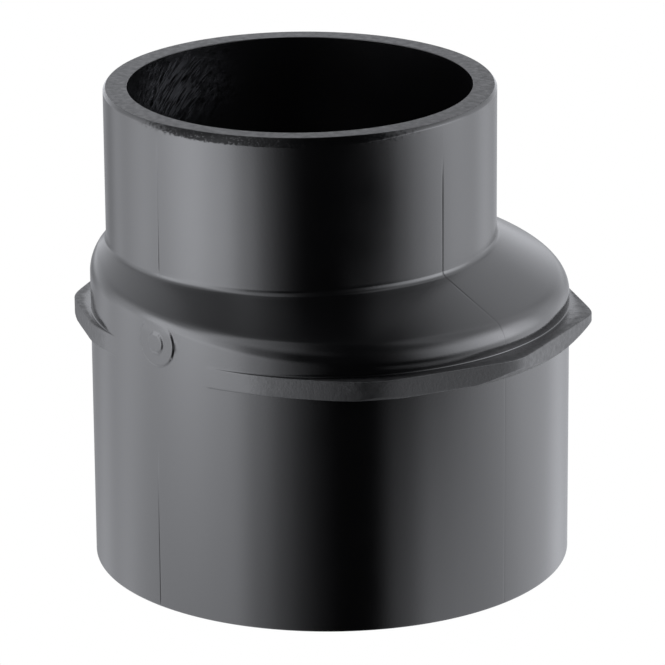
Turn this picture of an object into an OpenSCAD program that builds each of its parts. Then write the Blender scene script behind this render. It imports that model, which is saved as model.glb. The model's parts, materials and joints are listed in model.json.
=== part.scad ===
// Eccentric pipe reducer, moulded in one piece: a large plain spigot below, a small one above.
// Both are butt-weld ends. The small spigot stands off centre, so on one side the two walls almost line up.
// Millimetres, +Z up. The origin is the centre of the large spigot's end face.
// +X is the side where the step between the spigots is widest, -Y the side with the moulding gate.

/* [Large spigot] */
// Outside diameter of the large spigot
large_od = 110; // [90:1:160]
// Wall thickness of the large spigot
large_wall = 6; // [4:0.5:8]
// Length of plain wall from the end face up to the collar
large_length = 55.7; // [30:0.1:100]
// Rounding of the large spigot's outer rim
large_rim_round = 0.4; // [0.2:0.1:1]

/* [Small spigot] */
// Outside diameter of the small spigot
small_od = 90; // [60:1:96]
// Wall thickness of the small spigot
small_wall = 5.5; // [3.5:0.5:7]
// Length of plain wall from the shoulder up to the end face
small_length = 35.8; // [20:0.1:80]
// Step left between the two walls on the side where they almost line up
narrow_step = 0.8; // [0.5:0.1:2]
// Rounding of the small spigot's outer rim
small_rim_round = 0.6; // [0.2:0.1:1.5]

/* [Shoulder] */
// Height of the shoulder from the collar's top face to the foot of the small spigot
shoulder_rise = 13.8; // [12:0.1:24]
// Radius of the shoulder's rolled outer edge
roll_radius = 5.6; // [3:0.1:7]
// Height of the rolled edge over the collar on the wide side
roll_wide = 7.3; // [6:0.1:8]
// Height of the rolled edge over the collar on both flanks
roll_flank = 9.7; // [8:0.1:11]
// Height of the rolled edge over the collar on the narrow side, where the small spigot swallows it
roll_narrow = 15.6; // [13:0.1:16]
// Depth from the outside foot of the small spigot to the lower end of its bore
throat_drop = 4; // [3:0.1:5]
// Radius of the rolled edge inside the shoulder
throat_roll = 1.5; // [0.5:0.1:2.5]
// Radius of the fillet at the foot of the small spigot
foot_fillet = 1.2; // [0.5:0.1:2]

/* [Collar] */
// Thickness of the collar
collar_thickness = 4.6; // [3:0.1:8]
// Rounding of the collar's corners
collar_corner = 8; // [3:0.5:10]
// How far the collar's underside reaches out from the wall before its corners are chamfered
collar_chamfer_reach = 3.3; // [2.5:0.1:5]
// How far the collar's thin band stands proud of the wall between its straight sides
collar_lip = 0.1; // [0.1:0.05:0.5]
// How far the flank sides stand proud of the wall
flank_reach = 0.2; // [0.15:0.05:1]
// Direction the flank sides face, measured from +X
flank_angle = 60; // [52:1:64]
// How far the front side towards the gate stands proud of the wall
gate_front_reach = 2.6; // [1.5:0.1:4]
// Direction the front side towards the gate faces, measured from +X
gate_front_angle = 20; // [12:1:24]
// How far the front side away from the gate stands proud of the wall
far_front_reach = 3.4; // [1.5:0.1:5]
// Direction the front side away from the gate faces, measured from +X
far_front_angle = 16; // [12:1:24]
// How far the rear flank sides stand proud of the wall
rear_flank_reach = 1.6; // [1:0.1:3]
// Direction the rear flank sides face, measured from +X
rear_flank_angle = 120; // [112:1:128]
// Angle over which the rear flank sides run out onto the wall
rear_flank_run_out = 13; // [8:1:20]
// How far the slanted rear sides stand proud of the wall
rear_slant_reach = 2.4; // [1:0.1:3]
// Direction the slanted rear sides face, measured from +X
rear_slant_angle = 155; // [148:1:160]
// How far the rear side stands proud of the wall
rear_reach = 3; // [1.5:0.1:4]
// Width of the bare wall left at the gate side and opposite it, where the collar is interrupted
collar_gap = 33; // [20:1:44]

/* [Gate] */
// Diameter of the flat disc round the moulding gate
gate_disc_d = 10.8; // [8:0.1:14]
// Diameter of the stub left by the gate
gate_stub_d = 4.6; // [3:0.1:6]
// How far the disc stands proud of the wall
gate_disc_proud = 0.15; // [0.1:0.05:0.5]
// How far the stub stands proud of the disc
gate_stub_proud = 0.45; // [0.2:0.05:1]
// Height of the gate over the collar's top face
gate_rise = 3.1; // [1:0.1:5]
// Radius of the shoulder's rolled edge over the gate, tighter so that the wall stays upright behind the disc
gate_roll_radius = 2.8; // [2:0.1:5]

/* [Hidden] */

large_r = large_od / 2;
small_r = small_od / 2;
large_bore_r = large_r - large_wall;
small_bore_r = small_r - small_wall;
offset_x = large_r - small_r - narrow_step;

collar_top = large_length + collar_thickness;
foot_z = collar_top + shoulder_rise;
throat_z = foot_z - throat_drop;
total_height = foot_z + small_length;

overlap = 1;          // how far a shape reaches into its neighbour, or past a face it cuts
inset = 0.02;         // keeps a wall that another one continues just inside it
seat_gap = 0.4;       // a spigot's plain wall ends this far from the collar or the fillet next to it
nest = 0.5;           // how far inside a spigot's wall the shoulder's top edge is hidden
thin = 0.01;          // thickness of the slices that a hull is stretched over
slice_step = 5;       // degrees between the slices of a rolled edge
slice_sides = 48;     // sides of each slice of a rolled edge
disc_sides = 96;      // sides of the disc at the top of the shoulder
band_step = 3;        // degrees between the points of the collar's thin band
arc_steps = 8;        // pieces in one rounded corner of an outline
gate_root = 3.5;      // how deep the gate is rooted in the wall, which curves away behind its upper edge
gate_roll_focus = 8;  // the higher, the shorter the stretch of tighter rolled edge over the gate
shoulder_slope = 25;  // degrees, about how steep the shoulder is on its wide side

$fa = 3;
$fs = 0.5;

// Height of the shoulder's rolled edge over the collar in the direction a:
// the parabola through the heights given for the wide side, the flanks and the narrow side.
function roll_height(a) =
    roll_flank
    + (roll_wide - roll_narrow) / 2 * cos(a)
    + ((roll_wide + roll_narrow) / 2 - roll_flank) * pow(cos(a), 2);

// Radius of a rolled edge in the direction a: the usual one, except in a stretch over the gate.
function edge_radius(a, usual_r, over_gate_r) =
    usual_r + (over_gate_r - usual_r) * pow(max(-sin(a), 0), gate_roll_focus);

// Point where two straight sides meet, each given by the direction it faces and its distance from the axis.
function side_corner(a1, d1, a2, d2) =
    [d1 * sin(a2) - d2 * sin(a1), d2 * cos(a1) - d1 * cos(a2)] / sin(a2 - a1);

// Point in the direction a at the distance d from the axis.
function polar(a, d) = d * [cos(a), sin(a)];

function mirrored(point) = [point.x, -point.y];

// Points of an arc round a centre, turning from one angle to another.
function arc(centre, radius, from, to) =
    [for (i = [0:arc_steps]) centre + polar(from + (to - from) * i / arc_steps, radius)];

// Points that replace a convex corner with an arc; the outline runs anticlockwise.
function rounded(before, corner, after, radius) =
    let (
        back = (before - corner) / norm(before - corner),
        ahead = (after - corner) / norm(after - corner),
        half = acos(back * ahead) / 2,
        centre = corner + (back + ahead) / norm(back + ahead) * radius / sin(half),
        middle = atan2((corner - centre).y, (corner - centre).x)
    )
    arc(centre, radius, middle - (90 - half), middle + (90 - half));

// Outline through all the points, with every corner rounded except the first, the second and the last.
function lobe(points) =
    let (last = len(points) - 1)
    concat(
        [points[0], points[1]],
        [for (i = [2:last - 1], p = rounded(points[i - 1], points[i], points[i + 1], collar_corner)) p],
        [points[last]]
    );

// Outline of the collar round +X. Its flank sides end where they touch the wall.
function front_lobe() =
    let (
        flank_end = polar(flank_angle, large_r + flank_reach),
        gate_tip = side_corner(
            -flank_angle, large_r + flank_reach,
            -gate_front_angle, large_r + gate_front_reach
        ),
        front_tip = side_corner(
            -gate_front_angle, large_r + gate_front_reach,
            far_front_angle, large_r + far_front_reach
        ),
        far_tip = side_corner(
            far_front_angle, large_r + far_front_reach,
            flank_angle, large_r + flank_reach
        )
    )
    lobe([[0, 0], mirrored(flank_end), gate_tip, front_tip, far_tip, flank_end]);

// Outline of the collar round -X, the same on both flanks.
function rear_lobe() =
    let (
        start = polar(rear_flank_angle - rear_flank_run_out, large_r + flank_reach),
        bend = polar(rear_flank_angle, large_r + rear_flank_reach),
        tip = side_corner(
            rear_flank_angle, large_r + rear_flank_reach,
            rear_slant_angle, large_r + rear_slant_reach
        ),
        back_tip = side_corner(rear_slant_angle, large_r + rear_slant_reach, 180, large_r + rear_reach),
        flank = [start, bend, tip, back_tip]
    )
    lobe(concat([[0, 0]], flank, [for (i = [3:-1:0]) mirrored(flank[i])]));

// Shoulder from a disc at the top to a rolled edge below, with plain wall under the edge.
// The disc stays inside the spigot, and the surface comes out of the spigot's wall about at top_z.
module shoulder_hull(top_r, top_z, side_r, edge_r, gate_edge_r, edge_sink, bottom_z) {
    hull() {
        translate([-offset_x, 0, top_z + nest / 2])
            cylinder(r = top_r - nest, h = thin, $fn = disc_sides);
        for (a = [0:slice_step:360 - slice_step])
            let (r = edge_radius(a, edge_r, gate_edge_r))
                rotate([0, 0, a])
                    translate([side_r - r, 0, collar_top + roll_height(a) - edge_sink - r])
                        rotate([90, 0, 0])
                            cylinder(r = r, h = thin, $fn = slice_sides);
        translate([0, 0, bottom_z])
            cylinder(r = side_r, h = thin, $fn = 360 / slice_step);
    }
}

module shoulder() {
    shoulder_hull(
        top_r = small_r,
        top_z = foot_z,
        side_r = large_r - inset,
        edge_r = roll_radius,
        gate_edge_r = gate_roll_radius,
        edge_sink = 0,
        bottom_z = large_length + overlap
    );
}

// The inside follows the outside one wall thickness deeper.
module shoulder_hollow() {
    shoulder_hull(
        top_r = small_bore_r,
        top_z = throat_z,
        side_r = large_bore_r - inset,
        edge_r = throat_roll,
        gate_edge_r = throat_roll,
        edge_sink = large_wall / cos(shoulder_slope),
        bottom_z = large_length + overlap
    );
}

// Large spigot as a solid bar, rounded round its end face. Its plain wall ends just below the collar,
// and the bar goes on with a very slight flare, clear of the shoulder's wall.
module large_spigot() {
    rotate_extrude()
        polygon(concat(
            [[0, 0]],
            arc([large_r - large_rim_round, large_rim_round], large_rim_round, -90, 0),
            [
                [large_r, large_length - seat_gap],
                [large_r + inset, collar_top - overlap],
                [0, collar_top - overlap]
            ]
        ));
}

// Small spigot as a solid bar, rounded round its end face. Its plain wall ends just above the fillet,
// and the bar goes down into the shoulder with a very slight taper.
module small_spigot() {
    wall_end = foot_z + foot_fillet / 2 + seat_gap;
    translate([-offset_x, 0, 0])
        rotate_extrude()
            polygon(concat(
                [[0, foot_z - 2 * overlap], [small_r - inset, foot_z - 2 * overlap], [small_r, wall_end]],
                arc([small_r - small_rim_round, total_height - small_rim_round], small_rim_round, 0, 90),
                [[0, total_height]]
            ));
}

// Concave ring that softens the foot of the small spigot. The second cylinder stands off centre: it reaches
// the ring's rim on the wide side and only the spigot's wall on the narrow side, so the ring fades out.
module foot_ring() {
    rim = small_r - inset + foot_fillet;
    translate([-offset_x, 0, foot_z - foot_fillet / 2])
        intersection() {
            rotate_extrude()
                polygon(concat(
                    [[small_r - overlap, foot_fillet], [small_r - overlap, -overlap], [rim, -overlap]],
                    arc([rim, foot_fillet], foot_fillet, 270, 180)
                ));
            translate([foot_fillet / 2, 0, -2 * overlap])
                cylinder(r = small_r + foot_fillet / 2 - 2 * inset, h = foot_fillet + 4 * overlap);
        }
}

// A lobe round +X, a lobe round -X, and a thin band that joins each of them to the bare wall.
module collar_outline() {
    polygon(front_lobe());
    polygon(rear_lobe());
    difference() {
        polygon([for (a = [band_step / 2:band_step:360]) polar(a, large_r + collar_lip)]);
        square([collar_gap, large_od + 2 * overlap], center = true);
    }
}

// Flat collar; a cone takes the lower edge off its corners.
module collar() {
    underside_r = large_r + collar_chamfer_reach;
    translate([0, 0, large_length])
        intersection() {
            linear_extrude(height = collar_thickness)
                collar_outline();
            translate([0, 0, -overlap])
                cylinder(
                    r1 = underside_r - overlap,
                    r2 = underside_r + collar_thickness + overlap,
                    h = collar_thickness + 2 * overlap
                );
        }
}

// Flat disc and stub left where the plastic was injected.
module gate() {
    translate([0, gate_root - large_r, collar_top + gate_rise])
        rotate([90, 0, 0]) {
            cylinder(d = gate_disc_d, h = gate_root + gate_disc_proud);
            cylinder(d = gate_stub_d, h = gate_root + gate_disc_proud + gate_stub_proud);
        }
}

module bores() {
    translate([0, 0, -overlap])
        cylinder(r = large_bore_r, h = large_length + 3 * overlap);
    shoulder_hollow();
    translate([-offset_x, 0, throat_z - overlap])
        cylinder(r = small_bore_r, h = total_height - throat_z + 2 * overlap);
}

module reducer_body() {
    color([0.06, 0.06, 0.065])
        difference() {
            union() {
                large_spigot();
                collar();
                shoulder();
                small_spigot();
                foot_ring();
                gate();
            }
            bores();
        }
}

reducer_body();
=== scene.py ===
import json
import math

import bmesh
import bpy
import numpy as np
from mathutils import Matrix, Vector


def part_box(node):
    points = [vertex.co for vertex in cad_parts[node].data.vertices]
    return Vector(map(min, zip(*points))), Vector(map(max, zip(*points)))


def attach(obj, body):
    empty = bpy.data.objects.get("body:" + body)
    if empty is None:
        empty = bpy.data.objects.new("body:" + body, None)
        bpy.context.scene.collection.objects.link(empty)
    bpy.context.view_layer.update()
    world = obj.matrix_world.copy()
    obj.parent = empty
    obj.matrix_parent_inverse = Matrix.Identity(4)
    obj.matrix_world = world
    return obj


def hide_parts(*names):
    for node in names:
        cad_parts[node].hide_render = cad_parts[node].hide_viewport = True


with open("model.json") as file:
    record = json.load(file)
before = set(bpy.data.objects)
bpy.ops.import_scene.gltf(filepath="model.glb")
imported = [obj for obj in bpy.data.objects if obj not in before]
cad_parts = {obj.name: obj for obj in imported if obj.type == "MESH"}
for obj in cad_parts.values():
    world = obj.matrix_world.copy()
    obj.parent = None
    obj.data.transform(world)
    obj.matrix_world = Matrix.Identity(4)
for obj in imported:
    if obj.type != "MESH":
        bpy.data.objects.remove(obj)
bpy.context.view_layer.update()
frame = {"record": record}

# Lengths are in millimetres and angles in degrees until a mesh, a material or the camera is made.
MM = 0.001
NODE = "reducer_body"
MOUNTS = {mount["name"]: mount for mount in frame["record"]["mounts"]}


def mount_radius(name):
    return MOUNTS[name]["dims"]["r_mm"]


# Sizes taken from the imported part
LARGE_R = mount_radius("large_spigot")
SMALL_R = mount_radius("small_spigot")
LARGE_BORE_R = mount_radius("large_bore")
SMALL_BORE_R = mount_radius("small_bore")
SMALL_AXIS_X = MOUNTS["small_spigot"]["pos_m"][0] / MM
TOTAL_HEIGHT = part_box(NODE)[1].z / MM

# Lengths and heights of the outside
LARGE_LENGTH = 55.7
COLLAR_THICKNESS = 4.6
SHOULDER_RISE = 13.8
COLLAR_TOP = LARGE_LENGTH + COLLAR_THICKNESS
FOOT_Z = COLLAR_TOP + SHOULDER_RISE

# Edges
LARGE_RIM_ROUND = 0.4
SHARP = 0.15              # rounding of edges that look sharp
SUPPORT = 0.06            # distance of the ring that keeps a flat face flat beside a rounding
MERGE_DISTANCE = 0.002    # points this close together become one

# The small end's outer edge is dressed by hand: the cut's width and height all round, and where it is deepest
RIM_EDGE = (0.6, 0.8)
RIM_EDGE_MOST = (1.4, 1.8)
RIM_EDGE_FLATNESS = 0.75      # 0 for a rounding, 1 for a straight chamfer
RIM_EDGE_ROWS = 12
RIM_CUT_DIRECTION = -54
RIM_CUT_SPREAD = (20, 48)     # the deepest cut reaches this far to both sides, and has run out here

# Shoulder
ROLL_RADIUS = 5.6
GATE_ROLL_RADIUS = 2.8    # the rolled edge is tighter over the gate
GATE_ROLL_FOCUS = 8
ROLL_WIDE = 7.3
ROLL_FLANK = 9.7
ROLL_NARROW = 15.6
FOOT_FILLET = 1.55
ROLL_STEPS = 26
SLOPE_STEPS = 12
OVER_COLLAR_STEPS = 18    # up the wall between the collar and the rolled edge

# Inside of the shoulder, one wall deeper than the outside
INNER_SINK = 6.6
THROAT_Z = 70.1
THROAT_ROLL = 1.5
THROAT_EDGE = 1.0
LARGE_BORE_TOP = 57.0

# Collar: the direction that each straight side faces, and its reach from the axis
FRONT_SIDES = [(-20, 57.6), (16, 58.4), (60, 55.2)]
FRONT_START = 75          # on the gate side the front lobe starts to leave the wall here, measured from +X
FRONT_EASE = 4            # over these degrees
FRONT_RISE = 0.06         # then it gains this much with each degree
FRONT_CURVE = 3.45e-5     # and this much with the cube of the degrees
FRONT_END = 60            # on the far side the front lobe ends here, and a thin band goes on
BAND_REACH = 0.15
BAND_END = 72
REAR_SIDES = [(120, 56.6), (155, 57.4), (180, 58.0), (205, 57.4), (240, 56.6)]
REAR_START = 106          # direction in which the rear lobe starts to leave the wall
CORNER_SOFTNESS = 1.0     # how far the corners of the collar are rounded
LEAST_SLANT = 0.2         # keeps the distance of a side that faces away finite
BEYOND_SIDES = 100        # a reach so large that only the straight sides count
CHAMFER_REACH = 3.3       # what reaches further than this is chamfered underneath
COLLAR_EDGE = 0.25
COLLAR_FILLET = 0.25
COLLAR_LEDGE = 0.1        # the underside's first ring is this far from the wall
COLLAR_SIDE_STEPS = 18
COLLAR_TOP_ROWS = (0.8, 0.05)     # as shares of the flat top's width

# Heights of the mesh's rings where the wall is straight, and distances of those beside an edge
LARGE_WALL_ROWS = [1.5, 4, 9, 16, 24, 32, 40, 48, 53]
UNDER_COLLAR_ROWS = [0.6, 0.2]
OVER_FOOT_ROWS = [1.6, 2.4]
SMALL_WALL_ROWS = [78, 82, 87, 92, 97, 102, 106]
UNDER_RIM_ROWS = [0.4, SUPPORT]
SMALL_BORE_ROWS = [107, 104, 101, 98, 95, 92, 88, 84, 80]

# Noise of the finish: features for each metre, and detail
NOISE = {
    "moulded": (120.0, 4.0),
    "cut": (700.0, 5.0),
    "cut_border": (500.0, 4.0),
    "grain": (2600.0, 3.0),
    "scratches": (1300.0, 5.0),
    # The next three make the ragged border of the painted shade band, the flecks in it that keep the usual
    # gloss, and the streaks of the painted sheen in the small bore
    "torn_border": (1100.0, 6.0),
    "flecks": (2400.0, 4.0),
    "streaks": (1900.0, 6.0),
}
NOISE_SPAN = (0.3, 0.7)       # nearly all of the noise is in this range

# Finish of the moulded faces and of those that were cut
REFRACTIVE_INDEX = 1.5
MOULDED_ROUGHNESS = (0.15, 0.22)
CUT_ROUGHNESS = (0.4, 0.55)
CUT_BORDER = (-0.3, 0.3)      # what the noise adds to the share of the cut finish
CUT_EDGE = (0.2, 0.8)         # the cut finish sets in over this range of that share
COLLAR_CUT = (0.1, 1.3)       # and over this range of the collar's reach
DRESSED_EDGE = 0.2            # share of the cut finish on the small end's dressed edge
EDGE_BLUR = 0.3               # it fades in over this height to both sides of the edge's start
FACE_DEPTH = 0.02             # points this close to the end face's height belong to it
MARGIN = 0.1                  # points this close to the collar or to the bore's wall belong to them
RELIEF = 0.1                  # depth of the finest relief
GRAIN_STRENGTH = 0.12
SCRATCH_STRENGTH = 0.45

# Painted shade in a band under the near edge of the small end: the gloss is lowered there, with a ragged
# border, so that the band looks shaded by the edge above it
SHADED_BAND_HEIGHTS = (2.5, 1.1)     # below the end face: where the band starts, and where it is whole
SHADED_BAND_SPREAD = (14, 60)        # it reaches this far to both sides of the deepest cut, and has run out here
SHADED_BAND_BORDER = (-0.2, 0.2)
SHADED_BAND_EDGE = (0.35, 0.65)
FLECK_SPAN = (0.55, 0.75)     # where the noise is above this range there are bright flecks
USUAL_GLOSS = 0.5
SHADED_GLOSS = 0.1

# Painted sheen inside the small bore: a lighter patch in pale slanting streaks where the light from the right
# falls on the far wall
SHEEN_DIRECTION = 187
SHEEN_WIDTH = 18
SHEEN_Z = 101
SHEEN_HEIGHT = 8
STREAK_SLANT = -0.85          # in radians
STREAK_STRETCH = 6.0
STREAK_SPAN = (0.36, 0.68)
BLACK = (0.0010, 0.0010, 0.0011, 1)
# colour of the painted sheen
STREAKED_SHEEN = (0.060, 0.061, 0.066, 1)

# Gate disc and stub on the -Y side
GATE_AT = 270
GATE_X = 0.3
GATE_Z = COLLAR_TOP + 3.0
GATE_MERGE_Z = (65.6, 67.8)    # heights between which the disc merges into the rolled edge above it
GATE_DISC_R = 5.4
GATE_STUB_R = 2.3
GATE_DISC_PROUD = 0.22
GATE_STUB_PROUD = 0.6
GATE_EDGE = 0.12          # half the width of the step round the disc and the stub

# Lines left where the parts of the mould met, and the directions of the mesh's columns there
SEAM_WIDTH = 0.13
NEAR_SEAM = [0.05, 0.1, 0.15, 0.2, 0.3, 0.45, 0.65]       # from each line to the columns beside it
GATE_COLUMN = 0.16                                        # between the columns over the gate
# For each direction: heights, and the groove's depth there. A depth below zero is a fine ridge.
SEAMS = {
    0: ([0, 52, 56, 61, 66, 72, 75, 97, 100, 104, 108],
        [0.03, 0.03, 0, 0, 0.05, 0.12, 0.09, 0.11, -0.05, -0.03, 0]),
    90: ([0, 50, 62, 74, 76, 106], [0.06, 0.03, 0.05, 0.05, 0.06, 0]),
    180: ([0, 50, 62, 74, 76, 106], [0.05, 0.02, 0.05, 0.05, 0.06, 0]),
    270: ([0, 20, 27, 36, 43, 50, 74, 76, 84, 91, 99, 105],
          [0.16, 0.15, 0.1, 0.03, -0.04, 0, 0, 0.15, 0.12, 0.08, 0.12, 0]),
}


def columns():
    """Directions of the mesh's columns, closer together at the seams and the gate."""
    angles = set(range(360))
    for seam in SEAMS:
        angles.update(seam + side * step for step in NEAR_SEAM for side in (-1, 1))
    gate_half = math.degrees(math.asin((GATE_DISC_R + 4 * GATE_EDGE) / LARGE_R))
    gate = np.arange(GATE_AT - gate_half, GATE_AT + gate_half, GATE_COLUMN)
    gate = gate[np.abs(gate - GATE_AT) > NEAR_SEAM[-1] + NEAR_SEAM[0]]
    kept = [a for a in angles if abs(a - GATE_AT) > gate_half or abs(a - GATE_AT) <= NEAR_SEAM[-1]]
    return np.array(sorted(set(np.round(np.concatenate([kept, gate]) % 360, 3))))


AZIMUTH = columns()
TURN = np.radians(AZIMUTH)
OUTWARD = np.stack([np.cos(TURN), np.sin(TURN), np.zeros_like(TURN)], axis=1)


def smooth_step(low, high, value):
    """0 up to the low value, 1 from the high one on, and a smooth change between them."""
    t = np.clip((value - low) / (high - low), 0, 1)
    return t * t * (3 - 2 * t)


def signed(angle):
    """Angles from -180 to 180."""
    return (np.asarray(angle) + 180) % 360 - 180


def ring(radius, height, axis_x=0.0):
    """One row of the mesh: a ring whose radius and height may change with the direction."""
    points = OUTWARD * np.broadcast_to(radius, TURN.shape)[:, None]
    points[:, 0] += axis_x
    points[:, 2] = height
    return points


def arc_rings(centre_r, centre_z, radius, start, end, steps, axis_x=0.0):
    """Rings along an arc of the profile, from one angle above the horizontal to another."""
    rings = []
    for share in np.linspace(0, 1, steps + 1):
        angle = np.radians(start + (end - start) * share)
        rings.append(ring(centre_r + radius * np.cos(angle), centre_z + radius * np.sin(angle), axis_x))
    return rings


def straight_rings(first, last, steps):
    """Rings between two rings, without the two themselves."""
    return [first + (last - first) * share for share in np.linspace(0, 1, steps + 1)[1:-1]]


def roll_height():
    """Height of the shoulder's rolled edge over the collar in each direction."""
    cosine = np.cos(TURN)
    middle = (ROLL_WIDE + ROLL_NARROW) / 2 - ROLL_FLANK
    return ROLL_FLANK + (ROLL_WIDE - ROLL_NARROW) / 2 * cosine + middle * cosine ** 2


def roll_radius():
    """Radius of the shoulder's rolled edge in each direction."""
    over_gate = np.maximum(-np.sin(TURN), 0) ** GATE_ROLL_FOCUS
    return ROLL_RADIUS + (GATE_ROLL_RADIUS - ROLL_RADIUS) * over_gate


def side_distance(sides):
    """Distance of an outline of straight sides with soft corners, in each direction."""
    total = np.zeros_like(TURN)
    for facing, reach in sides:
        slant = np.cos(np.radians(signed(AZIMUTH - facing)))
        distance = reach / np.maximum(slant, LEAST_SLANT)
        total += np.exp(-distance / CORNER_SOFTNESS + LARGE_R / CORNER_SOFTNESS)
    return LARGE_R - CORNER_SOFTNESS * np.log(total)


def collar_reach():
    """How far the collar stands proud of the wall in each direction."""
    aside = np.abs(signed(AZIMUTH))
    gate_side = signed(AZIMUTH) < 0
    past = np.maximum(FRONT_START - aside, 0)
    rise = FRONT_RISE * past ** 2 / (past + FRONT_EASE) + FRONT_CURVE * past ** 3
    rise = np.where(gate_side, rise, BEYOND_SIDES)
    sides = side_distance(FRONT_SIDES) - LARGE_R
    both = np.exp(-rise / CORNER_SOFTNESS) + np.exp(-sides / CORNER_SOFTNESS)
    front = np.maximum(-CORNER_SOFTNESS * np.log(both), 0) * np.where(gate_side, past > 0, aside < FRONT_END)
    band = BAND_REACH * (1 - smooth_step(FRONT_END, BAND_END, aside)) * ~gate_side
    front = np.maximum(front, band)
    rear_flank = REAR_SIDES[0][0]
    rear = np.maximum(side_distance(REAR_SIDES) - LARGE_R, 0) * (aside > rear_flank)
    ramp = (REAR_SIDES[0][1] - LARGE_R) * smooth_step(REAR_START, rear_flank, aside) * (aside <= rear_flank)
    return np.maximum(front, np.maximum(rear, ramp))


def roll_tilt(centre_r, centre_z, roll, top_r, top_z):
    """Tilt of the straight part of the shoulder, which touches the rolled edge and meets the upper wall."""
    out = centre_r - top_r - SMALL_AXIS_X * np.cos(TURN)
    up = top_z - centre_z
    reach = np.hypot(out, up)
    return np.degrees(np.arccos(roll / reach) - np.arctan2(out, up))


def arc_height(corner_z, radius, tilt):
    """Height of the centre of an arc that touches an upright wall and the slope that meets it at corner_z."""
    slope = np.radians(tilt)
    return corner_z + radius * (1 - np.sin(slope)) / np.cos(slope)


def foot_rings():
    """Down the large bore, over the end face and round its outer edge."""
    face_r = LARGE_BORE_R + SHARP
    rings = [ring(LARGE_BORE_R, LARGE_BORE_TOP), ring(LARGE_BORE_R, LARGE_LENGTH / 2)]
    rings += [ring(LARGE_BORE_R, SHARP + SUPPORT)]
    rings += arc_rings(face_r, SHARP, SHARP, 180, 270, steps=4)
    rings += [ring(face_r + SUPPORT, 0), ring(LARGE_R - LARGE_RIM_ROUND - SUPPORT, 0)]
    rings += arc_rings(LARGE_R - LARGE_RIM_ROUND, LARGE_RIM_ROUND, LARGE_RIM_ROUND, -90, 0, steps=6)
    return rings


def large_wall_rings():
    """Up the large spigot to the collar."""
    heights = [LARGE_RIM_ROUND + SUPPORT] + LARGE_WALL_ROWS
    heights += [LARGE_LENGTH - gap for gap in UNDER_COLLAR_ROWS]
    return [ring(LARGE_R, height) for height in heights]


def collar_rings():
    """From the wall under the collar, round its edge and back to the wall above it."""
    reach = collar_reach()
    outer = LARGE_R + reach
    edge = np.minimum(COLLAR_EDGE, reach / 2)
    chamfer = np.maximum(reach - CHAMFER_REACH, 0)
    ledge = np.minimum(reach / 2, COLLAR_LEDGE)
    rings = [ring(LARGE_R, LARGE_LENGTH), ring(LARGE_R + ledge, LARGE_LENGTH)]
    rings += [ring(outer - edge - chamfer, LARGE_LENGTH)]
    rings += arc_rings(outer - edge - chamfer, LARGE_LENGTH + edge, edge, -90, -45, steps=3)
    rings += arc_rings(outer - edge, LARGE_LENGTH + edge + chamfer, edge, -45, 0, steps=3)
    low = ring(outer, LARGE_LENGTH + edge + chamfer)
    high = ring(outer, COLLAR_TOP - edge)
    rings += straight_rings(low, high, COLLAR_SIDE_STEPS)
    rings += arc_rings(outer - edge, COLLAR_TOP - edge, edge, 0, 90, steps=6)
    fillet = np.minimum(COLLAR_FILLET, reach / 3)
    flat = outer - edge - LARGE_R - fillet
    rings += [ring(LARGE_R + fillet + flat * share, COLLAR_TOP) for share in COLLAR_TOP_ROWS]
    rings += arc_rings(LARGE_R + fillet, COLLAR_TOP + fillet, fillet, 270, 180, steps=5)
    return rings


def shoulder_rings():
    """From the wall over the collar, over the rolled edge and up the slope to the small spigot."""
    roll = roll_radius()
    centre_r = LARGE_R - roll
    centre_z = COLLAR_TOP + roll_height() - roll
    tilt = roll_tilt(centre_r, centre_z, roll, SMALL_R, FOOT_Z)
    wall_low = ring(LARGE_R, COLLAR_TOP + COLLAR_FILLET)
    wall_high = ring(LARGE_R, centre_z)
    rings = straight_rings(wall_low, wall_high, OVER_COLLAR_STEPS)
    rings += arc_rings(centre_r, centre_z, roll, 0, 90 - tilt, ROLL_STEPS)
    fillet_r = SMALL_R + FOOT_FILLET
    fillet_z = arc_height(FOOT_Z, FOOT_FILLET, tilt)
    fillet = arc_rings(fillet_r, fillet_z, FOOT_FILLET, 270 - tilt, 180, steps=10, axis_x=SMALL_AXIS_X)
    rings += straight_rings(rings[-1], fillet[0], SLOPE_STEPS)
    return rings + fillet


def rim_edge():
    """Width and height of the small end's dressed edge in each direction."""
    aside = np.abs(signed(AZIMUTH - RIM_CUT_DIRECTION))
    most = 1 - smooth_step(*RIM_CUT_SPREAD, aside)
    return [usual + (large - usual) * most for usual, large in zip(RIM_EDGE, RIM_EDGE_MOST)]


def small_wall_rings():
    """Up the small spigot and over its dressed edge."""
    wide, tall = rim_edge()
    top = TOTAL_HEIGHT - tall
    heights = [FOOT_Z + gap for gap in OVER_FOOT_ROWS] + SMALL_WALL_ROWS
    heights += [top - gap for gap in UNDER_RIM_ROWS]
    rings = [ring(SMALL_R, height, SMALL_AXIS_X) for height in heights]
    for share in np.linspace(0, 1, RIM_EDGE_ROWS):
        angle = share * math.pi / 2
        inset = share * RIM_EDGE_FLATNESS + (1 - math.cos(angle)) * (1 - RIM_EDGE_FLATNESS)
        rise = share * RIM_EDGE_FLATNESS + math.sin(angle) * (1 - RIM_EDGE_FLATNESS)
        rings.append(ring(SMALL_R - wide * inset, top + tall * rise, SMALL_AXIS_X))
    return rings


def rim_rings():
    """Over the small end's face and into its bore."""
    inner = SMALL_BORE_R + SHARP
    outer = SMALL_R - rim_edge()[0] - SUPPORT
    rings = [ring(outer, TOTAL_HEIGHT, SMALL_AXIS_X), ring((inner + outer) / 2, TOTAL_HEIGHT, SMALL_AXIS_X)]
    rings += [ring(inner + SUPPORT, TOTAL_HEIGHT, SMALL_AXIS_X)]
    rings += arc_rings(inner, TOTAL_HEIGHT - SHARP, SHARP, 90, 180, steps=4, axis_x=SMALL_AXIS_X)
    return rings


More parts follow.
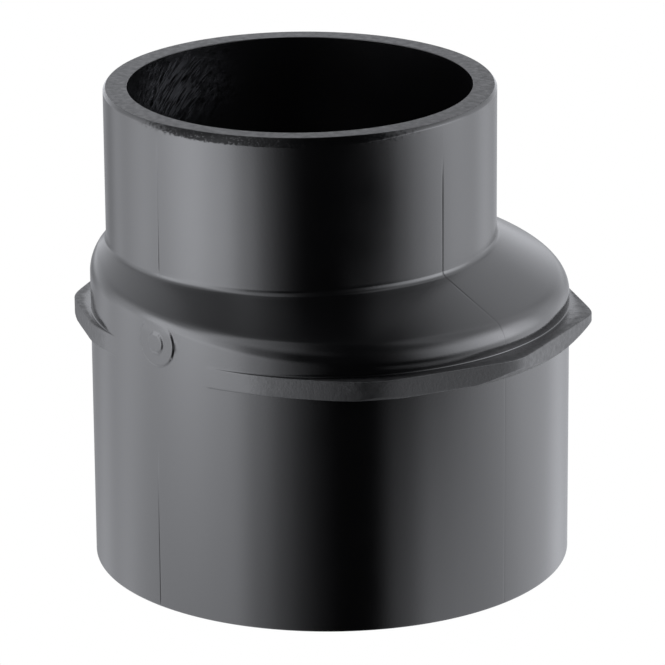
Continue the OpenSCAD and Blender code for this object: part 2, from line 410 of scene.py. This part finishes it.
def inside_rings():
    """Down the small bore and along the inside of the shoulder to the large bore."""
    centre_r = LARGE_BORE_R - THROAT_ROLL
    centre_z = COLLAR_TOP + roll_height() - INNER_SINK - THROAT_ROLL
    tilt = roll_tilt(centre_r, centre_z, THROAT_ROLL, SMALL_BORE_R, THROAT_Z)
    heights = [TOTAL_HEIGHT - SHARP - SUPPORT] + SMALL_BORE_ROWS + [THROAT_Z + 2 * THROAT_EDGE]
    rings = [ring(SMALL_BORE_R, height, SMALL_AXIS_X) for height in heights]
    edge_r = SMALL_BORE_R + THROAT_EDGE
    edge_z = arc_height(THROAT_Z, THROAT_EDGE, tilt)
    edge = arc_rings(edge_r, edge_z, THROAT_EDGE, 180, 270 - tilt, steps=6, axis_x=SMALL_AXIS_X)
    roll = arc_rings(centre_r, centre_z, THROAT_ROLL, 90 - tilt, 0, steps=8)
    return rings + edge + straight_rings(edge[-1], roll[0], 6) + roll


def cut_seams(rows):
    """Fine grooves down the outside where the parts of the mould met."""
    for row in rows:
        radius = np.hypot(row[:, 0], row[:, 1])
        for seam, (heights, depths) in SEAMS.items():
            depth = np.interp(row[:, 2], heights, depths)
            aside = np.radians(signed(AZIMUTH - seam)) * radius
            row -= OUTWARD * (depth * np.exp(-(aside / SEAM_WIDTH) ** 2))[:, None]


def raise_gate(rows):
    """Presses the flat disc and the stub out of the wall on the -Y side."""
    steps = [(GATE_DISC_R, GATE_DISC_PROUD), (GATE_STUB_R, GATE_STUB_PROUD)]
    for row in rows:
        below_roll = (row[:, 1] < 0) * (1 - smooth_step(*GATE_MERGE_Z, row[:, 2]))
        away = np.hypot(row[:, 0] - GATE_X, row[:, 2] - GATE_Z)
        for radius, proud in steps:
            share = (1 - smooth_step(radius - GATE_EDGE, radius + GATE_EDGE, away)) * below_roll
            row[:, 1] += (-(LARGE_R + proud) - row[:, 1]) * share


def about_small_axis(points):
    """Distance from the small spigot's axis, direction and height of each point."""
    x, y, z = points.T
    return np.hypot(x - SMALL_AXIS_X, y), np.degrees(np.arctan2(y, x - SMALL_AXIS_X)), z


def cut_share(points):
    """How much of the cut finish each point has: all of it on the small end's face and the collar's lobes."""
    x, y, z = points.T
    edge_start = TOTAL_HEIGHT - RIM_EDGE_MOST[1]
    edge = DRESSED_EDGE * smooth_step(edge_start - EDGE_BLUR, edge_start + EDGE_BLUR, z)
    face = 1.0 * (z > TOTAL_HEIGHT - FACE_DEPTH)
    collar = smooth_step(*COLLAR_CUT, np.hypot(x, y) - LARGE_R)
    collar = collar * (z > LARGE_LENGTH - MARGIN) * (z < COLLAR_TOP + MARGIN)
    return np.maximum(np.maximum(edge, face), collar)


def shaded_band_share(points):
    """The band of painted shade under the near edge of the small end, where the gloss is lowered."""
    distance, direction, z = about_small_axis(points)
    aside = np.abs(signed(direction - RIM_CUT_DIRECTION))
    start, whole = [TOTAL_HEIGHT - depth for depth in SHADED_BAND_HEIGHTS]
    band = smooth_step(start, whole, z) * (1 - smooth_step(*SHADED_BAND_SPREAD, aside))
    return band * (distance > SMALL_R - RIM_EDGE_MOST[0]) * (z < TOTAL_HEIGHT - FACE_DEPTH)


def streaked_sheen_share(points):
    """The painted sheen inside the small bore, where the light from the right falls on the far wall."""
    distance, direction, z = about_small_axis(points)
    aside = signed(direction - SHEEN_DIRECTION) / SHEEN_WIDTH
    patch = np.exp(-aside ** 2 - ((z - SHEEN_Z) / SHEEN_HEIGHT) ** 2)
    return patch * (np.abs(distance - SMALL_BORE_R) < MARGIN) * (z > THROAT_Z)


def make_mesh(name, rows):
    """A closed mesh from rings, each joined to the next and the last to the first."""
    count, width = len(rows), len(TURN)
    points = np.concatenate(rows) * MM
    index = np.arange(count * width).reshape(count, width)
    above = np.roll(index, -1, axis=0)
    faces = np.stack([index, np.roll(index, -1, axis=1), np.roll(above, -1, axis=1), above], axis=-1)
    mesh = bpy.data.meshes.new(name)
    mesh.from_pydata(points.tolist(), [], faces.reshape(-1, 4).tolist())
    mesh.update()
    # Shares of the cut finish, of the painted shade band and of the painted sheen, one for each point
    for finish, share in (("cut", cut_share), ("torn", shaded_band_share), ("scuff", streaked_sheen_share)):
        layer = mesh.attributes.new(finish, "FLOAT", "POINT")
        layer.data.foreach_set("value", share(points / MM).tolist())
    return mesh


def merge_and_smooth(obj):
    """Joins the points that lie on each other where the collar has run out, and shades smoothly."""
    made = bmesh.new()
    made.from_mesh(obj.data)
    bmesh.ops.remove_doubles(made, verts=made.verts, dist=MERGE_DISTANCE * MM)
    bmesh.ops.dissolve_degenerate(made, edges=made.edges, dist=MERGE_DISTANCE / 2 * MM)
    bmesh.ops.recalc_face_normals(made, faces=made.faces)
    for face in made.faces:
        face.smooth = True
    made.to_mesh(obj.data)
    made.free()


def make_reducer():
    """The whole fitting as one closed mesh."""
    outside = large_wall_rings() + collar_rings() + shoulder_rings() + small_wall_rings()
    cut_seams(outside)
    raise_gate(outside)
    rows = foot_rings() + outside + rim_rings() + inside_rings()
    obj = bpy.data.objects.new("reducer", make_mesh("reducer", rows))
    bpy.context.scene.collection.objects.link(obj)
    merge_and_smooth(obj)
    return obj


def add_node(tree, kind, **values):
    """A shader node with its sockets and properties set by name."""
    node = tree.nodes.new(kind)
    for key, value in values.items():
        if key in node.inputs:
            node.inputs[key].default_value = value
        else:
            setattr(node, key, value)
    return node


def blend(tree, share, first, second):
    """The first value where the share is 0, the second where it is 1."""
    mix = add_node(tree, "ShaderNodeMix")
    tree.links.new(share, mix.inputs["Factor"])
    tree.links.new(first, mix.inputs["A"])
    tree.links.new(second, mix.inputs["B"])
    return mix.outputs["Result"]


def arithmetic(tree, operation, first, second):
    """A maths node whose operands are numbers or the outputs of other nodes."""
    node = add_node(tree, "ShaderNodeMath", operation=operation)
    for socket, operand in zip(node.inputs, (first, second)):
        if isinstance(operand, (int, float)):
            socket.default_value = operand
        else:
            tree.links.new(operand, socket)
    return node.outputs[0]


def noise(tree, place, kind):
    """One of the kinds of noise over the object."""
    scale, detail = NOISE[kind]
    texture = add_node(tree, "ShaderNodeTexNoise", Scale=scale, Detail=detail)
    tree.links.new(place, texture.inputs["Vector"])
    return texture.outputs["Fac"]


def map_range(tree, value, source, target):
    """A straight change from one pair of values to another."""
    change = add_node(tree, "ShaderNodeMapRange")
    for key, number in zip(("From Min", "From Max", "To Min", "To Max"), source + target):
        change.inputs[key].default_value = number
    tree.links.new(value, change.inputs["Value"])
    return change.outputs["Result"]


def plastic_material():
    """Satin black polyethylene with a fine grain, rough and scratched where it was cut, with painted shade
    under the small end's near edge and a painted sheen inside the small bore.
    """
    material = bpy.data.materials.new("black_polyethylene")
    material.use_nodes = True
    tree = material.node_tree
    shader = tree.nodes["Principled BSDF"]
    shader.inputs["IOR"].default_value = REFRACTIVE_INDEX
    place = add_node(tree, "ShaderNodeTexCoord").outputs["Object"]
    cut, grain = cut_finish(tree, place)
    smooth = map_range(tree, noise(tree, place, "moulded"), (0, 1), MOULDED_ROUGHNESS)
    rough = map_range(tree, noise(tree, place, "cut"), NOISE_SPAN, CUT_ROUGHNESS)
    tree.links.new(blend(tree, cut, smooth, rough), shader.inputs["Roughness"])
    tree.links.new(grain, shader.inputs["Normal"])
    # Painted shade: lower gloss in the band under the small end's near edge
    tree.links.new(shaded_band_gloss(tree, place), shader.inputs["Specular IOR Level"])
    # Painted sheen in the base colour inside the small bore
    tree.links.new(streaked_sheen_colour(tree, place), shader.inputs["Base Color"])
    return material


def cut_finish(tree, place):
    """Where the faces were cut, with ragged borders, and the surface's fine relief."""
    attribute = add_node(tree, "ShaderNodeAttribute", attribute_name="cut").outputs["Fac"]
    border = map_range(tree, noise(tree, place, "cut_border"), (0, 1), CUT_BORDER)
    cut = map_range(tree, arithmetic(tree, "ADD", attribute, border), CUT_EDGE, (0, 1))
    grain = add_node(tree, "ShaderNodeBump", Strength=GRAIN_STRENGTH, Distance=RELIEF * MM)
    scratches = add_node(tree, "ShaderNodeBump", Distance=RELIEF * MM)
    tree.links.new(noise(tree, place, "grain"), grain.inputs["Height"])
    tree.links.new(noise(tree, place, "scratches"), scratches.inputs["Height"])
    tree.links.new(map_range(tree, cut, (0, 1), (0, SCRATCH_STRENGTH)), scratches.inputs["Strength"])
    tree.links.new(grain.outputs["Normal"], scratches.inputs["Normal"])
    return cut, scratches.outputs["Normal"]


def shaded_band_gloss(tree, place):
    """The usual gloss, and a low one for the painted shade in the band under the small end's near edge, with
    flecks that keep the usual gloss.
    """
    attribute = add_node(tree, "ShaderNodeAttribute", attribute_name="torn").outputs["Fac"]
    border = map_range(tree, noise(tree, place, "torn_border"), NOISE_SPAN, SHADED_BAND_BORDER)
    torn = map_range(tree, arithmetic(tree, "ADD", attribute, border), SHADED_BAND_EDGE, (0, 1))
    flecks = map_range(tree, noise(tree, place, "flecks"), FLECK_SPAN, (SHADED_GLOSS, USUAL_GLOSS))
    usual = add_node(tree, "ShaderNodeValue")
    usual.outputs["Value"].default_value = USUAL_GLOSS
    return blend(tree, torn, usual.outputs["Value"], flecks)


def streaked_sheen_colour(tree, place):
    """Black, with a painted sheen in pale slanting streaks inside the small bore, where the light from the
    right falls.
    """
    slanted = add_node(tree, "ShaderNodeMapping", vector_type="TEXTURE")
    slanted.inputs["Rotation"].default_value = (STREAK_SLANT, 0, 0)
    slanted.inputs["Scale"].default_value = (1, 1, STREAK_STRETCH)
    tree.links.new(place, slanted.inputs["Vector"])
    streaks = map_range(tree, noise(tree, slanted.outputs["Vector"], "streaks"), STREAK_SPAN, (0, 1))
    attribute = add_node(tree, "ShaderNodeAttribute", attribute_name="scuff").outputs["Fac"]
    mix = add_node(tree, "ShaderNodeMix", data_type="RGBA")
    colours = [socket for socket in mix.inputs if socket.type == "RGBA"]
    colours[0].default_value = BLACK
    colours[1].default_value = STREAKED_SHEEN
    tree.links.new(arithmetic(tree, "MULTIPLY", attribute, streaks), mix.inputs["Factor"])
    return next(socket for socket in mix.outputs if socket.type == "RGBA")


def white_material():
    """Evenly lit white paper."""
    material = bpy.data.materials.new("white_paper")
    material.use_nodes = True
    tree = material.node_tree
    tree.nodes.clear()
    light = add_node(tree, "ShaderNodeEmission", Strength=1.0)
    out = add_node(tree, "ShaderNodeOutputMaterial")
    tree.links.new(light.outputs["Emission"], out.inputs["Surface"])
    return material


# Floor, just under the end face, which would flicker against it
FLOOR_Z = -0.05
FLOOR_REACH = 6000


def make_floor():
    """A large pale floor. It stays out of the reflections, so that only the lights show in them."""
    mesh = bpy.data.meshes.new("floor")
    corners = [(-1, -1), (1, -1), (1, 1), (-1, 1)]
    points = [(x * FLOOR_REACH * MM, y * FLOOR_REACH * MM, FLOOR_Z * MM) for x, y in corners]
    mesh.from_pydata(points, [], [(0, 1, 2, 3)])
    floor = bpy.data.objects.new("floor", mesh)
    bpy.context.scene.collection.objects.link(floor)
    mesh.materials.append(white_material())
    floor.visible_glossy = False


# Camera, as fitted to the photograph
CAMERA_AZIMUTH = 45.0
CAMERA_ELEVATION = 18.678
CAMERA_DISTANCE = 1134.8
CAMERA_ROLL = -0.444
CAMERA_AIM_Z = 56.0
FOCAL_LENGTH_PX = 4925.7
PICTURE_PX = 665
OPTICAL_CENTRE_PX = (330.2, 316.0)
SENSOR_WIDTH = 36.0
CLIP_START = 50
CLIP_END = 20000

# Light tent: a large round diffuser about the object. Each list gives (angle, brightness) at one height, with
# the angle counted from the camera's side to the right. Upright walls mirror the low and the middle light.
# The rolled edge and the foot of the small spigot mirror the high one. The shoulder's slope mirrors the top
# of the tent, which has a dark patch over the middle and the near right.
LOW_LIGHT = [
    (-180, 0.3), (-150, 0.5), (-120, 1.4), (-100, 2.5), (-55, 3.3), (-43, 3.3), (-30, 1.65), (-20, 0.8),
    (-12, 0.33), (-5, 0.1), (3, 0.0), (18, 0.0), (30, 1.0), (45, 2.6), (60, 2.8), (90, 2.8), (120, 2.1),
    (150, 0.8), (180, 0.3),
]
MIDDLE_LIGHT = [
    (-180, 0.5), (-140, 0.5), (-120, 1.5), (-90, 3.7), (-60, 6.6), (-45, 5.6), (-30, 2.9), (-20, 1.15),
    (-13, 0.45), (-6, 0.1), (0, 0.0), (38, 0.0), (47, 0.25), (57, 1.15), (67, 2.2), (78, 3.0), (90, 3.4),
    (120, 1.9), (150, 0.7), (180, 0.5),
]
HIGH_LIGHT = [
    (-180, 1.5), (-150, 1.6), (-120, 1.4), (-95, 3.1), (-75, 6.6), (-55, 6.2), (-42, 4.0), (-28, 1.0),
    (-12, 0.03), (15, 0.0), (24, 0.06), (31, 0.25), (38, 1.0), (42, 1.8), (46, 2.4), (58, 4.3), (72, 6.2),
    (82, 7.2), (95, 5.0), (110, 2.3), (135, 1.25), (165, 1.5), (180, 1.5),
]
TOP_LIGHT = [
    (-180, 1.6), (-150, 1.7), (-120, 1.9), (-95, 2.6), (-75, 3.0), (-50, 6.0), (-35, 3.5), (-20, 1.8),
    (-7, 0.4), (10, 0.0), (30, 0.1), (45, 0.5), (70, 2.5), (90, 2.5), (110, 2.9), (135, 2.1), (165, 1.7),
    (180, 1.6),
]
# Heights over the tent's centre, as shares of its radius
LOW_END = -0.50
WALL_TOP = -0.27              # the large spigot's wall mirrors nothing above this height
WALL_SHARE = 0.52             # share of the middle light that shows there
MIDDLE_AT = -0.18
MIDDLE_END = -0.04
HIGH_START = 0.1
TOP_HEIGHTS = (0.45, 0.7)     # the high light turns into that of the top between these heights
PATCH_HEIGHTS = (0.6, 0.8)    # the dark patch sets in
PATCH_LEFT = (-0.12, 0)       # its borders to the left and right of the centre, as shares of the radius
PATCH_RIGHT = (0.24, 0.4)
PATCH_SHARE = 0.9             # how much of the light it takes away
FADE_START = 0.34             # from here to the top the light fades
FADE_POWER = 0.42
DIM_HEIGHTS = (-0.82, -0.7)   # the light from under the object is weaker
DIM_SHARE = 0.6
LIGHT_COLOUR = (0.968, 0.985, 1.04, 1)
TENT_RADIUS = 250
TENT_CENTRE_Z = 55
TENT_SEGMENTS = 96
TENT_RINGS = 48


def direction_ramp(tree, turn, stops):
    """A grey ramp over the direction. Its stops are (angle, brightness)."""
    peak = max(level for angle, level in stops)
    ramp = add_node(tree, "ShaderNodeValToRGB")
    ramp.color_ramp.interpolation = "EASE"
    elements = ramp.color_ramp.elements
    while len(elements) > 1:
        elements.remove(elements[-1])
    for number, (angle, level) in enumerate(stops):
        place = (angle + 180) / 360
        element = elements[0] if number == 0 else elements.new(place)
        element.position = place
        element.color = (level / peak,) * 3 + (1,)
    scale = add_node(tree, "ShaderNodeMath", operation="MULTIPLY")
    scale.inputs[1].default_value = peak
    tree.links.new(turn, ramp.inputs["Fac"])
    tree.links.new(ramp.outputs["Color"], scale.inputs[0])
    return scale.outputs[0]


def outside_patch(tree, x, height):
    """1 outside the dark patch in the tent's top, and less inside it."""
    aside = arithmetic(tree, "DIVIDE", x, TENT_RADIUS * MM)
    inside = map_range(tree, height, PATCH_HEIGHTS, (0, PATCH_SHARE))
    inside = arithmetic(tree, "MULTIPLY", inside, map_range(tree, aside, PATCH_LEFT, (0, 1)))
    inside = arithmetic(tree, "MULTIPLY", inside, map_range(tree, aside, PATCH_RIGHT, (1, 0)))
    return arithmetic(tree, "SUBTRACT", 1.0, inside)


def tent_material():
    """Light whose brightness changes with the direction and the height."""
    material = bpy.data.materials.new("tent_light")
    material.use_nodes = True
    tree = material.node_tree
    tree.nodes.clear()
    place = add_node(tree, "ShaderNodeTexCoord")
    parts = add_node(tree, "ShaderNodeSeparateXYZ")
    tree.links.new(place.outputs["Object"], parts.inputs["Vector"])
    away = arithmetic(tree, "MULTIPLY", parts.outputs["Y"], -1.0)
    angle = arithmetic(tree, "ARCTAN2", parts.outputs["X"], away)
    turn = map_range(tree, angle, (-math.pi, math.pi), (0, 1))
    height = arithmetic(tree, "DIVIDE", parts.outputs["Z"], TENT_RADIUS * MM)
    lists = (LOW_LIGHT, MIDDLE_LIGHT, HIGH_LIGHT, TOP_LIGHT)
    low, middle, high, top = [direction_ramp(tree, turn, stops) for stops in lists]
    wall = map_range(tree, height, (LOW_END, WALL_TOP), (0, WALL_SHARE))
    gap = map_range(tree, height, (WALL_TOP, MIDDLE_AT), (0, 1 - WALL_SHARE))
    lower = blend(tree, arithmetic(tree, "ADD", wall, gap), low, middle)
    upper = blend(tree, map_range(tree, height, TOP_HEIGHTS, (0, 1)), high, top)
    whole = blend(tree, map_range(tree, height, (MIDDLE_END, HIGH_START), (0, 1)), lower, upper)
    rest = map_range(tree, height, (FADE_START, 1.0), (1, 0))
    fade = arithmetic(tree, "POWER", rest, FADE_POWER)
    foot = map_range(tree, height, DIM_HEIGHTS, (DIM_SHARE, 1))
    fade = arithmetic(tree, "MULTIPLY", fade, foot)
    fade = arithmetic(tree, "MULTIPLY", fade, outside_patch(tree, parts.outputs["X"], height))
    light = add_node(tree, "ShaderNodeEmission", Color=LIGHT_COLOUR)
    out = add_node(tree, "ShaderNodeOutputMaterial")
    tree.links.new(arithmetic(tree, "MULTIPLY", whole, fade), light.inputs["Strength"])
    tree.links.new(light.outputs["Emission"], out.inputs["Surface"])
    return material


def make_tent():
    """The light tent. It shows only in reflections."""
    mesh = bpy.data.meshes.new("tent")
    made = bmesh.new()
    bmesh.ops.create_uvsphere(made, u_segments=TENT_SEGMENTS, v_segments=TENT_RINGS, radius=TENT_RADIUS * MM)
    made.to_mesh(mesh)
    made.free()
    tent = bpy.data.objects.new("tent", mesh)
    bpy.context.scene.collection.objects.link(tent)
    mesh.materials.append(tent_material())
    tent.location = (0, 0, TENT_CENTRE_Z * MM)
    tent.rotation_euler = (0, 0, math.radians(CAMERA_AZIMUTH))
    tent.visible_camera = False
    tent.visible_shadow = False


def make_world():
    """An even white surrounding."""
    world = bpy.data.worlds.new("studio")
    bpy.context.scene.world = world
    world.use_nodes = True
    background = world.node_tree.nodes["Background"]
    background.inputs["Color"].default_value = (1, 1, 1, 1)
    background.inputs["Strength"].default_value = 1.0


def make_camera():
    """The camera, turned about its own axis and shifted off the picture's centre as in the photograph."""
    azimuth, elevation = math.radians(CAMERA_AZIMUTH), math.radians(CAMERA_ELEVATION)
    level_back = Vector((math.sin(azimuth), -math.cos(azimuth), 0))
    back = level_back * math.cos(elevation) + Vector((0, 0, math.sin(elevation)))
    level_right = Vector((math.cos(azimuth), math.sin(azimuth), 0))
    level_up = back.cross(level_right)
    roll = math.radians(CAMERA_ROLL)
    right = level_right * math.cos(roll) + level_up * math.sin(roll)
    up = level_up * math.cos(roll) - level_right * math.sin(roll)
    aside = (PICTURE_PX / 2 - OPTICAL_CENTRE_PX[0]) / FOCAL_LENGTH_PX
    down = (PICTURE_PX / 2 - OPTICAL_CENTRE_PX[1]) / FOCAL_LENGTH_PX
    axis = (-back + right * aside - up * down).normalized()
    data = bpy.data.cameras.new("camera")
    data.sensor_width = SENSOR_WIDTH
    data.lens = FOCAL_LENGTH_PX / PICTURE_PX * SENSOR_WIDTH
    data.clip_start = CLIP_START * MM
    data.clip_end = CLIP_END * MM
    camera = bpy.data.objects.new("camera", data)
    bpy.context.scene.collection.objects.link(camera)
    side = axis.cross(up).normalized()
    frame_up = side.cross(axis)
    turn = Matrix((side, frame_up, -axis)).transposed().to_4x4()
    location = Vector((0, 0, CAMERA_AIM_Z * MM)) + back * CAMERA_DISTANCE * MM
    camera.matrix_world = Matrix.Translation(location) @ turn
    bpy.context.scene.camera = camera


reducer = make_reducer()
reducer.data.materials.append(plastic_material())
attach(reducer, "root")
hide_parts(NODE)
make_floor()
make_tent()
make_world()
make_camera()
bpy.context.scene.view_settings.view_transform = "Standard"
